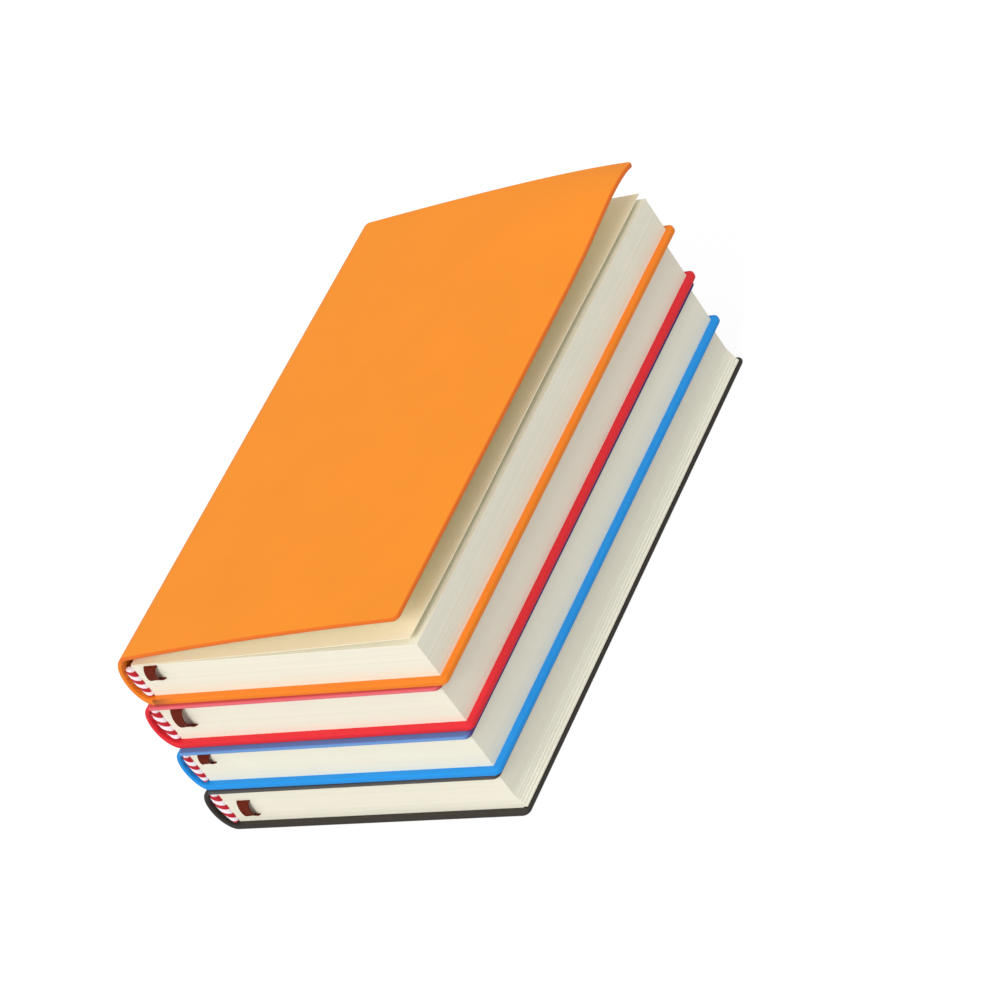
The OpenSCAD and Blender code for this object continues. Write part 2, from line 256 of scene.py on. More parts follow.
height = combine(grain_group, "ADD", pebbles.outputs["Distance"], wrinkles)
varied = vary_colour(
    grain_group, given, clouds, "Mottle", From_Min=0.3, From_Max=0.7, To_Min=-0.5, To_Max=0.5
)
gloss = add_node(grain_group, "ShaderNodeMapRange", [("Value", wrinkles)])
set_inputs(gloss, To_Min=0.5, To_Max=0.72)
grain_group.links.new(varied, made.inputs["Colour"])
grain_group.links.new(gloss.outputs[0], made.inputs["Roughness"])
grain_group.links.new(height, made.inputs["Height"])

# %% Lines of the leaves on a trimmed edge
leaves_group, given, made = start_group(
    "leaf_lines",
    [("Colour", COLOUR, (1, 1, 1, 1)), ("Strength", NUMBER, 0.12)],
    [("Colour", COLOUR), ("Height", NUMBER)],
)
place = object_place(leaves_group)
flat_on = add_node(leaves_group, "ShaderNodeMapping", [("Vector", place)])
flat_on.inputs["Scale"].default_value = (0.012, 0.012, 1)
drawn_out = flat_on.outputs[0]
leaf = texture(leaves_group, "Noise", drawn_out, Scale=5200, Detail=2).outputs["Fac"]
section = texture(leaves_group, "Noise", drawn_out, Scale=900, Detail=3).outputs["Fac"]
fibre = texture(leaves_group, "Noise", place, Scale=60, Detail=4).outputs["Fac"]
lines = combine(leaves_group, "ADD", leaf, section)
total = combine(leaves_group, "ADD", lines, fibre)
varied = vary_colour(
    leaves_group, given, total, "Strength", From_Min=1.0, From_Max=2.0, To_Min=-1, To_Max=1
)
leaves_group.links.new(varied, made.inputs["Colour"])
leaves_group.links.new(lines, made.inputs["Height"])

# %% [markdown]
# ## Materials
# A cover is card wrapped in a soft coated cloth: matt, with a fine grain and a faint
# mottle. Paper is matt and warm. Both are Principled shaders that take their colour and
# bump from the shared groups. Thread, ribbon and lining cloth have patterns of their own.

# %% Helpers for materials
def srgb(red, green, blue):
    def linear(value):
        value = value / 255
        return value / 12.92 if value <= 0.04045 else ((value + 0.055) / 1.055) ** 2.4

    return (linear(red), linear(green), linear(blue), 1)


def principled(name, roughness=0.6, specular=0.3, sheen=0):
    material, tree, output = material_with_nodes(name)
    shader = tree.nodes.new("ShaderNodeBsdfPrincipled")
    set_inputs(shader, Roughness=roughness, Specular_IOR_Level=specular, Sheen_Weight=sheen)
    tree.links.new(shader.outputs[0], output.inputs["Surface"])
    return material, tree, shader


def bump(tree, shader, height, distance_mm, strength=1):
    node = tree.nodes.new("ShaderNodeBump")
    set_inputs(node, Strength=strength, Distance=distance_mm / 1000)
    tree.links.new(height, node.inputs["Height"])
    tree.links.new(node.outputs[0], shader.inputs["Normal"])


def place_group(tree, group, **values):
    node = tree.nodes.new("ShaderNodeGroup")
    node.node_tree = group
    return set_inputs(node, **values)


def mix_colours(tree, share, first, second):
    """A colour that goes from the first to the second as the share goes from 0 to 1."""
    node = add_node(tree, "ShaderNodeMix", [(0, share)], data_type="RGBA")
    node.inputs[6].default_value = first
    node.inputs[7].default_value = second
    return node


# %% [markdown]
# The cloth is turned over the rim of the card. On the lifted cover the turned rim is
# painted deeper in colour, as painted shade. On a closed front cover it is painted pale
# at the tail, as a painted highlight, and painted dark at the fore-edge and close under
# the next book, as painted shade, violet on the blue cover as a painted reflection of the
# red one. A number on each vertex says which rim it is on: 1 for painted shade, -1 for
# painted highlight, -2 for painted crevice shade, and 0.5 for spines and back covers,
# which take half the painted shade. It was chosen over separate materials because it
# fades by itself.

# %% Cover materials
# Mixes a rim colour of painted light or shade into the colour where the rim number runs from first
# to last.
def paint_rim_light(tree, colour, rim, first, last, tint):
    amount = add_node(tree, "ShaderNodeMapRange", [("Value", rim)])
    set_inputs(amount, From_Min=first, From_Max=last)
    mixed = mix_colours(tree, amount.outputs[0], tint, tint)
    tree.links.new(colour, mixed.inputs[6])
    return mixed.outputs[2]


def cover_material(name, colour, shaded_rim, highlit_rim, crevice_shade_rim):
    material, tree, shader = principled(name, specular=0.22, sheen=0.03)
    grain = place_group(tree, grain_group, Colour=colour, Grain_size_mm=0.8, Mottle=0.05)
    rim = add_node(tree, "ShaderNodeAttribute", attribute_name="rim").outputs["Fac"]
    # Towards 1 the rim number paints shade on the rounded rims; spines and back covers at 0.5 take
    # half of it.
    tinted = paint_rim_light(tree, grain.outputs["Colour"], rim, 0, 1, shaded_rim)
    # Down to -1 the rim number paints a pale highlight on the tail rims of the closed front
    # covers.
    tinted = paint_rim_light(tree, tinted, rim, 0, -1, highlit_rim)
    # Down to -2 the rim number paints crevice shade at the fore-edge and under the next book,
    # violet on the blue cover as a painted reflection of the red one.
    tinted = paint_rim_light(tree, tinted, rim, -1, -2, crevice_shade_rim)
    tree.links.new(tinted, shader.inputs["Base Color"])
    tree.links.new(grain.outputs["Roughness"], shader.inputs["Roughness"])
    bump(tree, shader, grain.outputs["Height"], 0.05, 0.5)
    return material


# Each colour has its face, and then its rim colours of painted shade, painted highlight and
# painted crevice shade.
COVER_COLOURS = {
    "black": (srgb(58, 53, 48), srgb(56, 51, 46), srgb(84, 82, 80), srgb(52, 50, 48)),
    "blue": (srgb(34, 156, 236), srgb(28, 142, 224), srgb(108, 156, 216), srgb(70, 50, 118)),
    "red": (srgb(236, 42, 56), srgb(228, 42, 50), srgb(236, 108, 118), srgb(176, 50, 40)),
    "orange": (srgb(255, 148, 30), srgb(236, 114, 32), srgb(236, 120, 50), srgb(204, 90, 34)),
}
cover_materials = {}
for colour, tints in COVER_COLOURS.items():
    cover_materials[colour] = cover_material(colour + "_cover_cloth", *tints)


# %% Paper materials
def paper_material(name, colour, lines):
    material, tree, shader = principled(name, roughness=0.85, specular=0.15)
    edge = place_group(tree, leaves_group, Colour=colour, Strength=lines)
    tree.links.new(edge.outputs["Colour"], shader.inputs["Base Color"])
    bump(tree, shader, edge.outputs["Height"], 0.05, 0.4)
    return material


page_edges = paper_material("page_edges", srgb(246, 241, 221), 0.025)
sheet_paper = paper_material("sheet_paper", srgb(255, 247, 216), 0.01)

# %% Thread, ribbon and cloth materials
thread, tree, shader = principled("headband_thread", roughness=0.55, specular=0.35, sheen=0.1)
wrap = add_node(tree, "ShaderNodeAttribute", attribute_name="wrap")
half_turn = add_node(tree, "ShaderNodeMath", operation="PINGPONG")
tree.links.new(wrap.outputs["Fac"], half_turn.inputs[0])
half_turn.inputs[1].default_value = 1
stripe = add_node(tree, "ShaderNodeMapRange", [("Value", half_turn.outputs[0])])
set_inputs(stripe, From_Min=0.44, From_Max=0.56)
striped = mix_colours(tree, stripe.outputs[0], srgb(196, 6, 34), srgb(250, 240, 248))
tree.links.new(striped.outputs[2], shader.inputs["Base Color"])

ribbon_satin, tree, shader = principled("ribbon_satin", roughness=0.6, specular=0.12)
weave = texture(tree, "Wave", object_place(tree), Scale=700, Distortion=1)
weave.bands_direction = "X"
shade = mix_colours(tree, weave.outputs["Fac"], srgb(78, 18, 6), srgb(124, 42, 18))
tree.links.new(shade.outputs[2], shader.inputs["Base Color"])
bump(tree, shader, weave.outputs["Fac"], 0.05, 0.5)

lining_cloth, tree, shader = principled("lining_cloth", roughness=0.9, specular=0.1)
place = object_place(tree)
warp = texture(tree, "Wave", place, Scale=260, Distortion=0.6)
warp.bands_direction = "Y"
weft = texture(tree, "Wave", place, Scale=260, Distortion=0.6)
weft.bands_direction = "Z"
crossing = combine(tree, "MULTIPLY", warp.outputs["Fac"], weft.outputs["Fac"])
shade = mix_colours(tree, crossing, srgb(188, 180, 158), srgb(226, 220, 200))
tree.links.new(shade.outputs[2], shader.inputs["Base Color"])
bump(tree, shader, crossing, 0.1, 0.6)
print("Materials:", len(bpy.data.materials))

# %% [markdown]
# ## How the books lie
# Every book is made on its own: X from the middle of its pages to the fore-edge, Y from
# tail to head, Z up from its underside. A book then needs one matrix that puts it into
# the stack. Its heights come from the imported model, and its shift and turn are the
# ones that the CAD model uses.

# %% Describe the books
MM = 0.001
FRONT_T = 1.6 * MM
OVERHANG = 2.6 * MM
FRONT_OVERHANG = 1.8 * MM
CORNER_R = 2.6 * MM
ENDPAPER_T = 0.4 * MM
ORANGE_JOINT_H = 24.3 * MM
ORANGE_JOINT_X = 4 * MM
pages_low, pages_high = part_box("orange_pages")
PAGE_W = pages_high.x - pages_low.x
PAGE_L = pages_high.y - pages_low.y
stack_middle = (pages_low + pages_high) / 2
BACK_X = -PAGE_W / 2
FORE_X = PAGE_W / 2 + OVERHANG
FRONT_X = PAGE_W / 2 + FRONT_OVERHANG
SHEET_HALF_L = PAGE_L / 2 + OVERHANG

# Lengths are in mm and the turn in degrees. The spine is widest at a share of the height.
BOOKS = {
    "black": {"shift": (-4.1, -3.4), "turn": 0.26, "bulge": 6.2, "widest": 0.5, "back_t": 1.6},
    "blue": {"shift": (-3, -3), "turn": 0.04, "bulge": 5, "widest": 0.5, "back_t": 2.4},
    "red": {"shift": (-2.9, -0.9), "turn": 0.14, "bulge": 6.2, "widest": 0.46, "back_t": 2.4},
    "orange": {"shift": (0, 0), "turn": 0, "bulge": 5.6, "widest": 0.4, "back_t": 2.4},
}
for colour, book in BOOKS.items():
    low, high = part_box(colour + "_pages")
    back_t = book["back_t"] * MM
    base = low.z - back_t - ENDPAPER_T
    book["page_low"] = back_t + ENDPAPER_T
    book["page_high"] = high.z - base
    book["height"] = high.z - base + FRONT_T + ENDPAPER_T
    shift_x, shift_y = book["shift"]
    place_x = stack_middle.x + shift_x * MM
    place_y = stack_middle.y + shift_y * MM
    moved = Matrix.Translation((place_x, place_y, base))
    book["matrix"] = moved @ Matrix.Rotation(math.radians(book["turn"]), 4, "Z")
    print(colour, "pages in mm:", round(1000 * (high.z - low.z), 1))


# %% Helper that finishes a piece
def finished_piece(name, bm, book, material, stands_for, body="stack", sharp_deg=None):
    bmesh.ops.transform(bm, matrix=book["matrix"], verts=bm.verts)
    mesh = bpy.data.meshes.new(name)
    bm.to_mesh(mesh)
    bm.free()
    mesh.materials.append(material)
    mesh.shade_smooth()
    if sharp_deg:
        mesh.set_sharp_from_angle(angle=math.radians(sharp_deg))
    piece = bpy.data.objects.new(name, mesh)
    bpy.context.scene.collection.objects.link(piece)
    if body:
        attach(piece, body)
    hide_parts(*stands_for)
    print(name, "faces:", len(mesh.polygons))
    return piece


# %% [markdown]
# ## Page blocks
# A trimmed block of leaves is never a plain box: its sections of folded sheets leave
# fine grooves on every trimmed side. A cube is cut into sections with bisect_plane, and
# the cuts are drawn in by a hair. The lowest leaves of the black book have slipped
# outwards, as the photograph shows, so its foot fans out at the fore-edge.

# %% Build the page blocks
SECTION_T = 1.05 * MM
ROWS_ALONG = 24
ROWS_ACROSS = 14
GROOVE_H = 0.12 * MM
GROOVE_FOOT = 0.02 * MM
GROOVE_DEPTH = 0.05 * MM
EDGE_WAVE = 0.03 * MM
FAN_OUT = 2 * MM
FANNED_SECTIONS = 6


def cut_across(bm, point, normal):
    whole = bm.verts[:] + bm.edges[:] + bm.faces[:]
    bmesh.ops.bisect_plane(bm, geom=whole, plane_co=point, plane_no=normal, dist=1e-7)


def page_block(colour):
    book = BOOKS[colour]
    thick = book["page_high"] - book["page_low"]
    chance = random.Random(colour)
    bm = bmesh.new()
    bmesh.ops.create_cube(bm, size=1)
    bmesh.ops.scale(bm, vec=(PAGE_W, PAGE_L, thick), verts=bm.verts)
    bmesh.ops.translate(bm, vec=(0, 0, book["page_low"] + thick / 2), verts=bm.verts)
    for k in range(1, ROWS_ALONG):
        cut_across(bm, (0, (k / ROWS_ALONG - 0.5) * PAGE_L, 0), (0, 1, 0))
    for k in range(1, ROWS_ACROSS):
        cut_across(bm, ((k / ROWS_ACROSS - 0.5) * PAGE_W, 0, 0), (1, 0, 0))
    sections = round(thick / SECTION_T)
    drawn_in = {}
    level = book["page_low"]
    for k in range(sections):
        top = book["page_low"] + thick * (k + 1) / sections
        middle = (level + top) / 2
        for z, depth in ((level + GROOVE_H, GROOVE_FOOT), (middle, 0), (top, GROOVE_DEPTH)):
            drawn_in[round(z / MM, 3)] = depth * chance.uniform(0.4, 1.3)
            if z < book["page_high"] - 0.01 * MM:
                cut_across(bm, (0, 0, z), (0, 0, 1))
        level = top
    for v in bm.verts:
        depth = drawn_in.get(round(v.co.z / MM, 3), 0)
        wave = EDGE_WAVE * noise.noise(Vector((v.co.x * 30, v.co.y * 30, v.co.z * 900)))
        if abs(v.co.x) > PAGE_W / 2 - 1e-6:
            v.co.x -= math.copysign(depth + abs(wave), v.co.x)
        if abs(v.co.y) > PAGE_L / 2 - 1e-6:
            v.co.y -= math.copysign(depth + abs(wave), v.co.y)
    if colour == "black":
        section_h = thick / sections
        for v in bm.verts:
            number = math.floor((v.co.z - book["page_low"]) / section_h + 0.02)
            share = 1 - number / FANNED_SECTIONS
            if v.co.x > PAGE_W / 2 - 0.5 * MM and share > 0:
                v.co.x += FAN_OUT * share**1.4
    finished_piece(
        colour + "_leaves", bm, book, page_edges,
        stands_for=[colour + "_pages"], sharp_deg=40,
    )


for colour in BOOKS:
    page_block(colour)

# %% [markdown]
# ## Cases
# A case is one sheet of card and cloth: front cover, rounded hollow spine and back
# cover. Its outer line is drawn once, from the fore-edge round the spine and back: the
# spine is two quarter circles made with spin and stretched to ellipses. The line is
# extruded along the book, its corners are rounded with a vertex bevel, and solidify
# and a bevel of the rim then give the soft edge.

# %% Helpers that draw the line of a case
def start_line(point):
    """A new mesh with the one vertex from which a line is drawn."""
    bm = bmesh.new()
    return bm, bmesh.ops.create_vert(bm, co=point)["vert"][0]


def straight(bm, start, end, cuts):
    """Extends a line from start to end, and returns its last vertex."""
    goal = Vector(end)
    origin = start.co.copy()
    for k in range(cuts):
        start = bmesh.ops.extrude_vert_indiv(bm, verts=[start])["verts"][0]
        start.co = origin.lerp(goal, (k + 1) / cuts)
    return start


def quarter(bm, start, centre, reach_x, reach_z):
    """Extends a line by a quarter ellipse towards the spine, and returns its last vertex."""
    middle = Vector(centre)
    radius = (start.co - middle).length
    before = set(bm.verts)
    bmesh.ops.spin(
        bm, geom=[start], cent=middle, axis=(0, -1, 0), angle=math.pi / 2, steps=14,
        use_duplicate=False,
    )
    new = [v for v in bm.verts if v not in before]
    last = max(new, key=lambda v: (v.co - start.co).length)
    for v in new:
        v.co.x = middle.x + (v.co.x - middle.x) * reach_x / radius
        v.co.z = middle.z + (v.co.z - middle.z) * reach_z / radius
    return last


def extrude_line(bm, edges):
    """Extrudes edges once, and returns the new vertices and the edges between them."""
    made = bmesh.ops.extrude_edge_only(bm, edges=edges)["geom"]
    fresh = [g for g in made if isinstance(g, bmesh.types.BMVert)]
    ends = set(fresh)
    lines = [g for g in made if isinstance(g, bmesh.types.BMEdge) and set(g.verts) <= ends]
    return fresh, lines


# %% Helpers that turn the line into a padded cover
RIM_ROUNDING = 0.45 * FRONT_T
INSIDE = 0.96


def along_book(bm, rows):
    """Extrudes the line from tail to head, with cross sections at the given rows."""
    for v in bm.verts:
        v.co.y = -SHEET_HALF_L
    moved = extrude_line(bm, bm.edges[:])[0]
    bmesh.ops.translate(bm, vec=(0, 2 * SHEET_HALF_L, 0), verts=moved)
    for y in rows:
        cut_across(bm, (0, y, 0), (0, 1, 0))
    bmesh.ops.recalc_face_normals(bm, faces=bm.faces)


def point_faces(bm, outwards):
    """Turns all faces so that the one that is furthest out along outwards points that way."""
    direction = Vector(outwards)
    bm.normal_update()
    furthest = max(bm.faces, key=lambda f: f.calc_center_median().dot(direction))
    if furthest.normal.dot(direction) < 0:
        bmesh.ops.reverse_faces(bm, faces=bm.faces)


def pad_back_cover(bm, extra, widest, bulge):
    """Raises the inside of the back cover, which is thicker than the spine."""
    for v in bm.verts:
        across = min(0, v.co.x - BACK_X) / bulge
        inside = across**2 + ((v.co.z - widest) / widest) ** 2 < INSIDE
        share = (widest - v.co.z) / (widest - FRONT_T)
        if inside and share > 0:
            v.co.z += extra * min(1, share)


def padded_cover(bm, back_t, widest, bulge, seam_x=None):
    """Rounds the sheet's free corners, pads it, and rounds and numbers its rim."""
    high = max(v.co.z for v in bm.verts)
    rim_number = bm.verts.layers.float.new("rim")
    corners = [v for v in bm.verts if len(v.link_edges) == 2]
    if seam_x is not None:
        corners = [v for v in corners if abs(v.co.x - seam_x) > 1 * MM]
    bmesh.ops.bevel(
        bm, geom=corners, offset=CORNER_R, offset_type="OFFSET", affect="VERTICES",
        segments=6, profile=0.5, material=-1,
    )
    bmesh.ops.solidify(bm, geom=bm.faces[:], thickness=FRONT_T)
    pad_back_cover(bm, back_t - FRONT_T, widest, bulge)
    bm.normal_update()
    rim = [e for e in bm.edges if e.is_manifold and e.calc_face_angle() > math.radians(60)]
    if seam_x is not None:
        rim = [e for e in rim if any(abs(v.co.x - seam_x) > 0.01 * MM for v in e.verts)]
    made = bmesh.ops.bevel(
        bm, geom=rim, offset=RIM_ROUNDING, offset_type="OFFSET", affect="EDGES",
        segments=5, profile=0.5, material=-1, clamp_overlap=True,
    )
    bm.normal_update()
    rounding = set(made["faces"])
    # Rim numbers for the painted light: 0.5 gives half painted shade on spines and back covers, -1
    # to -2 a painted highlight turning to painted crevice shade on closed front covers, and 1
    # painted shade on the lifted cover's rounding.
    for v in made["verts"]:
        flat = any(abs(f.normal.z) > 0.9 and f not in rounding for f in v.link_faces)
        fore_edge = (v.co.x - FRONT_X + CORNER_R) / CORNER_R
        upper = 0.5 + 2 * (v.co.z - high) / FRONT_T
        if v.co.z < widest or v.co.x < BACK_X:
            v[rim_number] = 0.5
        elif seam_x is None:
            v[rim_number] = -1 - min(1, max(0, fore_edge, upper))
        else:
            v[rim_number] = 0 if flat else 1


def even_normals(piece):
    modifier = piece.modifiers.new("even normals", "WEIGHTED_NORMAL")
    modifier.mode = "FACE_AREA"
    modifier.weight = 50


# %% Build the cases of the closed books
EVEN_ROWS = [k * 15 * MM for k in range(-6, 7)]
CLOSED_BOOKS = ("black", "blue", "red")


def closed_case(colour):
    book = BOOKS[colour]
    high = book["height"]
    widest = high * book["widest"]
    bulge = book["bulge"] * MM
    bm, start = start_line((FRONT_X, 0, high))
    back = straight(bm, start, (BACK_X, 0, high), 10)
    side = quarter(bm, back, (BACK_X, 0, widest), bulge, high - widest)
    foot = quarter(bm, side, (BACK_X, 0, widest), bulge, widest)
    straight(bm, foot, (FORE_X, 0, 0), 10)
    along_book(bm, EVEN_ROWS)
    point_faces(bm, (0, 0, 1))
    padded_cover(bm, book["back_t"] * MM, widest, bulge)
    piece = finished_piece(
        colour + "_cover", bm, book, cover_materials[colour],
        stands_for=[colour + "_case"],
    )
    even_normals(piece)


for colour in CLOSED_BOOKS:
    closed_case(colour)

# %% [markdown]
# ## The lifted cover
# The orange book's front cover stands ajar. It is one soft skin with the spine, so the
# skin is one mesh, shaped with a bend where the cover turns. The same line is drawn, with the
# cover's stretch flat, and its vertices are then moved by a rule: up at the angle of
# the lifted cover, down again towards the fore-edge by its own weight, and up near the
# head corner, where the cover curls and its tip hangs. The flat back cover is a piece
# of its own, set flush to the skin where the spine rests on the next book.

# %% Rule for the lifted cover
LIFT = math.radians(6)
FRONT_L = 122.6 * MM
JOINT_START = BACK_X + ORANGE_JOINT_X
JOINT_GAP = 0.3 * MM
SAG = 4.6 * MM
CURL = 2.1 * MM
CURL_Y = SHEET_HALF_L - 13 * MM
CURL_REACH = 26 * MM
DROP = 1.8 * MM
DROP_REACH = 5 * MM


def cover_point(s, y, above):
    """A point of the lifted cover: s from the joint, y along the book, above its middle."""
    curl = CURL * math.exp(-(((y - CURL_Y) / CURL_REACH) ** 2))
    drop = DROP * (s / FRONT_L) ** 6 * math.exp((y - SHEET_HALF_L) / DROP_REACH)
    rise = above + (curl - SAG) * (s / FRONT_L) ** 2 - drop
    x = JOINT_START + JOINT_GAP + s * math.cos(LIFT) - rise * math.sin(LIFT)
    z = ORANGE_JOINT_H - FRONT_T / 2 + s * math.sin(LIFT) + rise * math.cos(LIFT)
    return Vector((x, y, z))


# %% Build the orange skin and its back cover
orange = BOOKS["orange"]
orange_bulge = orange["bulge"] * MM
orange_widest = ORANGE_JOINT_H * orange["widest"]
ORANGE_BACK_T = orange["back_t"] * MM
HEAD_ROWS = [SHEET_HALF_L - step * MM for step in (4, 6, 9, 12.5, 20, 26, 38, 46)]

cover_end = JOINT_START + JOINT_GAP + FRONT_L
bm, start = start_line((cover_end, 0, ORANGE_JOINT_H))
joint = straight(bm, start, (JOINT_START + JOINT_GAP, 0, ORANGE_JOINT_H), 26)
top = straight(bm, joint, (JOINT_START, 0, ORANGE_JOINT_H), 1)
top_centre = (JOINT_START, 0, orange_widest)
top_reach = orange_bulge + ORANGE_JOINT_X
side = quarter(bm, top, top_centre, top_reach, ORANGE_JOINT_H - orange_widest)
quarter(bm, side, (BACK_X, 0, orange_widest), orange_bulge, orange_widest)
along_book(bm, EVEN_ROWS + HEAD_ROWS)
point_faces(bm, (0, 0, 1))
for v in bm.verts:
    s = v.co.x - JOINT_START - JOINT_GAP
    if s > -1e-6:
        v.co = cover_point(s, v.co.y, FRONT_T / 2)
padded_cover(bm, ORANGE_BACK_T, orange_widest, orange_bulge, seam_x=BACK_X)
skin = finished_piece(
    "orange_cover_and_spine", bm, orange, cover_materials["orange"],
    stands_for=["orange_case", "orange_front_cover"], body=None,
)
even_normals(skin)
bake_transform(skin)

bm, start = start_line((FORE_X, 0, 0))
straight(bm, start, (BACK_X, 0, 0), 10)
along_book(bm, EVEN_ROWS)
point_faces(bm, (0, 0, -1))
padded_cover(bm, ORANGE_BACK_T, orange_widest, orange_bulge, seam_x=BACK_X)
back_cover = finished_piece(
    "orange_back_cover", bm, orange, cover_materials["orange"],
    stands_for=["orange_case"],
)
even_normals(back_cover)

# %% [markdown]
# ## Flyleaf and pastedown
# The first leaf of stiff paper is folded: one half is pasted inside the cover, and the
# other, the flyleaf, is free and stands up a little. Both are grids that are moved to
# their curve and given the thickness of the paper.

# %% Build the flyleaf and the pastedown
FLYLEAF_T = 0.3 * MM
PASTEDOWN_T = 0.25 * MM
FLYLEAF_GAP = 0.35 * MM
FLYLEAF_RISE = 2.6 * MM
FLYLEAF_WAVE = 0.25 * MM
FLYLEAF_INSET = 1 * MM
PASTEDOWN_INSET = 4 * MM


def paper_sheet(name, point, thickness, body, node):
    bm = bmesh.new()
    bmesh.ops.create_grid(bm, x_segments=40, y_segments=40, size=0.5)
    for v in bm.verts:
        v.co = point(v.co.x + 0.5, v.co.y)
    point_faces(bm, (0, 0, 1))
    bmesh.ops.solidify(bm, geom=bm.faces[:], thickness=thickness)
    finished_piece(
        name, bm, orange, sheet_paper, stands_for=[node], body=body, sharp_deg=50
    )


def flyleaf_point(across, along):
    y = along * (PAGE_L - 0.4 * MM)
    wave = FLYLEAF_WAVE * math.sin(9 * along + 1) * across**2
    z = orange["page_high"] + FLYLEAF_GAP + FLYLEAF_RISE * across**1.5 + wave
    return Vector((BACK_X + across * (PAGE_W - FLYLEAF_INSET), y, z))


def pastedown_point(across, along):
    s = PASTEDOWN_INSET + across * (FRONT_L - 2 * PASTEDOWN_INSET)
    y = along * 2 * (SHEET_HALF_L - PASTEDOWN_INSET)
    return cover_point(s, y, -FRONT_T / 2 - 0.12 * MM)


paper_sheet("orange_flyleaf_sheet", flyleaf_point, FLYLEAF_T, "stack", "orange_flyleaf")
paper_sheet("orange_cover_lining", pastedown_point, PASTEDOWN_T, "front_cover", "orange_pastedown")

# %% [markdown]
# ## Headbands
# At both ends of a spine a cord wrapped in red and white thread fills the hollow between
# the pages and the case. Its section is half an ellipse, drawn from create_circle with
# its back pressed flat. The section is extruded up the book ring by ring, and each
# ring is set between the pages and the inside of the spine. Grooves mark each turn of
# thread, and a number on every vertex counts the stripes for the material. A tab of its
# cloth is glued on behind the leaves.

# %% Build the headbands
STRIPES = 7
TURNS = 4
RINGS_A_TURN = 5
CORD_DEPTH = 1.5 * MM
SLANT = 3 * MM
END_GAP = 0.4 * MM
SPINE_GAP = 0.25 * MM
THINNEST = 0.9 * MM
ONTO_PAGES = 0.2 * MM
PRESSED_DEPTH = 0.3 * MM
TAB_T = 0.4 * MM
TAB_L = 12 * MM
TAB_GAP = 0.6 * MM
TAB_OUT = 0.3 * MM
TAB_SHORTER = 2.4 * MM


def inner_spine_x(colour, z):
    """Where the inside of the spine is at a height above the book's underside."""
    book = BOOKS[colour]
    top = ORANGE_JOINT_H if colour == "orange" else book["height"]
    widest = top * book["widest"]
    upper = z > widest
    lead = ORANGE_JOINT_X if upper and colour == "orange" else 0
    reach_x = book["bulge"] * MM + lead - FRONT_T
    reach_z = top - widest - FRONT_T if upper else widest - book["back_t"] * MM
    share = min(1, abs(z - widest) / reach_z)
    return BACK_X + lead - reach_x * math.sqrt(1 - share**2)


def headband(colour, end):
    book = BOOKS[colour]
    low = book["page_low"] + END_GAP
    high = book["page_high"] - END_GAP
    count = STRIPES * TURNS * RINGS_A_TURN
    bm = bmesh.new()
    stripe_number = bm.verts.layers.float.new("wrap")
    bmesh.ops.create_circle(bm, cap_ends=True, segments=22, radius=1)
    section = [(v.co.x, v.co.y) for v in bm.verts]

    def set_ring(ring, k):
        share = k / count
        z = low + (high - low) * share
        groove = abs(math.sin(math.pi * k / RINGS_A_TURN))
        depth = CORD_DEPTH * (0.84 + 0.16 * groove)
        x_left = min(inner_spine_x(colour, z) + SPINE_GAP, BACK_X - THINNEST)
        x_right = BACK_X + ONTO_PAGES
        slant = SLANT * min(1, 8 * share, 8 * (1 - share))
        for v, (across, out) in zip(ring, section):
            v.co.x = (x_left + x_right) / 2 + (x_right - x_left) / 2 * across
            v.co.y = -PAGE_L / 2 + (depth if out < 0 else PRESSED_DEPTH) * out
            v.co.z = z - slant * across / 2
            v[stripe_number] = share * STRIPES

    ring = bm.verts[:]
    edges = bm.edges[:]
    set_ring(ring, 0)
    for k in range(1, count + 1):
        ring, edges = extrude_line(bm, edges)
        set_ring(ring, k)
    bmesh.ops.holes_fill(bm, edges=edges, sides=0)
    bmesh.ops.recalc_face_normals(bm, faces=bm.faces)
    tab = bmesh.ops.create_cube(bm, size=1)["verts"]
    bmesh.ops.scale(bm, vec=(TAB_T, TAB_L, high - low - TAB_SHORTER), verts=tab)
    tab_y = -PAGE_L / 2 + TAB_L / 2 - TAB_OUT
    tab_place = (BACK_X - TAB_GAP, tab_y, (low + high) / 2)
    bmesh.ops.translate(bm, vec=tab_place, verts=tab)
    for v in tab:
        v[stripe_number] = 1
    if end == "head":
        bmesh.ops.scale(bm, vec=(1, -1, 1), verts=bm.verts)
        bmesh.ops.reverse_faces(bm, faces=bm.faces)
    name = f"{colour}_{end}_headband"
    finished_piece(
        name + "_thread", bm, book, thread, stands_for=[name], sharp_deg=60
    )


for colour in BOOKS:
    for end in ("tail", "head"):
        headband(colour, end)

# %% [markdown]
# ## Ribbon markers
# A ribbon comes out between the leaves at the tail, hangs down in a short loop and is
# tucked back in. Its path is drawn from the head end, round half an ellipse made with
# spin, and the path is then extruded to the ribbon's width. Where it bends, satin
# draws in and its edges curl.

# %% Build the ribbons
# Lengths are in mm. Each ribbon comes out at a share of its page block's height.
RIBBONS = {
    "black": {"x": 6, "out": 0.64, "loop_h": 7.6, "loop_out": 2},
    "blue": {"x": 4, "out": 0.88, "loop_h": 4.4, "loop_out": 1.6},
    "red": {"x": 6.5, "out": 0.96, "loop_h": 9.4, "loop_out": 3},
    "orange": {"x": 5.5, "out": 0.97, "loop_h": 6.4, "loop_out": 2.4},
}
RIBBON_W = 6 * MM
RIBBON_T = 0.35 * MM
RIBBON_CURL = 0.35 * MM
RIBBON_STEPS = 8
HEAD_GAP = 8 * MM
TUCKED_IN = 30 * MM
PINCH = 0.3


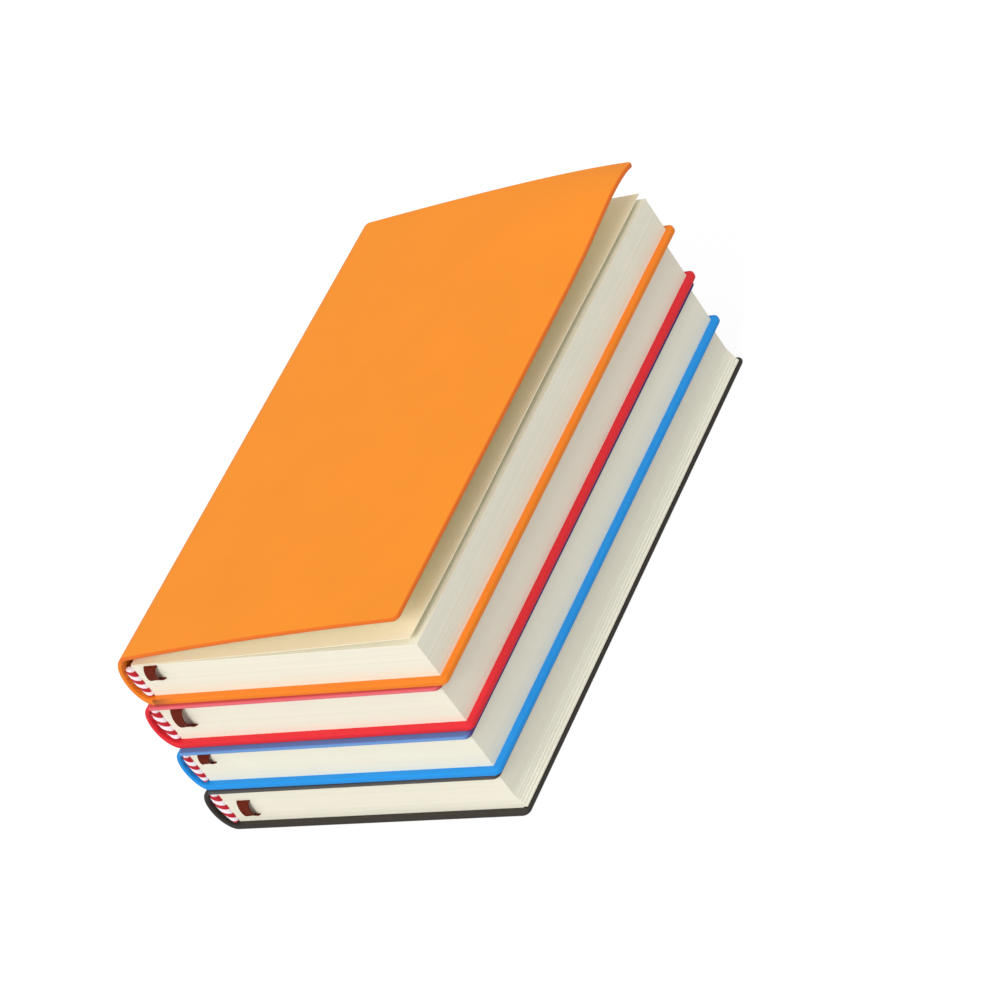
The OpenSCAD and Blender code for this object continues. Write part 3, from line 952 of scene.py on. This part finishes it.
def ribbon(colour):
    book = BOOKS[colour]
    size = RIBBONS[colour]
    tail_y = -PAGE_L / 2
    left = BACK_X + size["x"] * MM
    out_z = book["page_low"] + (book["page_high"] - book["page_low"]) * size["out"]
    in_z = out_z - size["loop_h"] * MM
    middle = Vector((left, tail_y, (out_z + in_z) / 2))
    bm, start = start_line((left, PAGE_L / 2 - HEAD_GAP, out_z))
    leaving = straight(bm, start, (left, tail_y, out_z), 6)
    before = set(bm.verts)
    bmesh.ops.spin(
        bm, geom=[leaving], cent=middle, axis=(1, 0, 0), angle=math.pi, steps=18,
        use_duplicate=False,
    )
    loop = [v for v in bm.verts if v not in before]
    for v in loop:
        v.co.y = tail_y + (v.co.y - tail_y) * size["loop_out"] / (size["loop_h"] / 2)
    foot = min(loop, key=lambda v: v.co.z)
    straight(bm, foot, (left, tail_y + TUCKED_IN, in_z), 3)
    edges = bm.edges[:]
    for k in range(RIBBON_STEPS):
        moved, edges = extrude_line(bm, edges)
        bmesh.ops.translate(bm, vec=(RIBBON_W / RIBBON_STEPS, 0, 0), verts=moved)
    for v in bm.verts:
        share = (v.co.x - left) / RIBBON_W
        out = max(0, tail_y - v.co.y) / (size["loop_out"] * MM)
        v.co.y -= RIBBON_CURL * out * (2 * share - 1) ** 2
        v.co.x += PINCH * out * (left + RIBBON_W / 2 - v.co.x)
    bmesh.ops.recalc_face_normals(bm, faces=bm.faces)
    bmesh.ops.solidify(bm, geom=bm.faces[:], thickness=RIBBON_T)
    finished_piece(
        colour + "_ribbon_band", bm, book, ribbon_satin,
        stands_for=[colour + "_ribbon"], sharp_deg=60,
    )


for colour in BOOKS:
    ribbon(colour)

# %% [markdown]
# ## Endpapers and spine linings
# Closed endpapers are flat sheets, and the cloth lining is a flat strip, so the CAD
# solids have the right shape already. They stay, and only get their finish.

# %% Give the remaining CAD pieces their finish
for name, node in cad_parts.items():
    if name.endswith("endpaper"):
        node.material_slots[0].material = page_edges
    if name.endswith("lining"):
        node.material_slots[0].material = lining_cloth

# %% [markdown]
# ## Size and finish
# The finished model keeps the CAD model's size. Its visual box is printed in mm.

# %% Print the visual box and finish
low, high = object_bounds()
print("Visual box in mm:", [round(1000 * v, 1) for v in (high - low)])
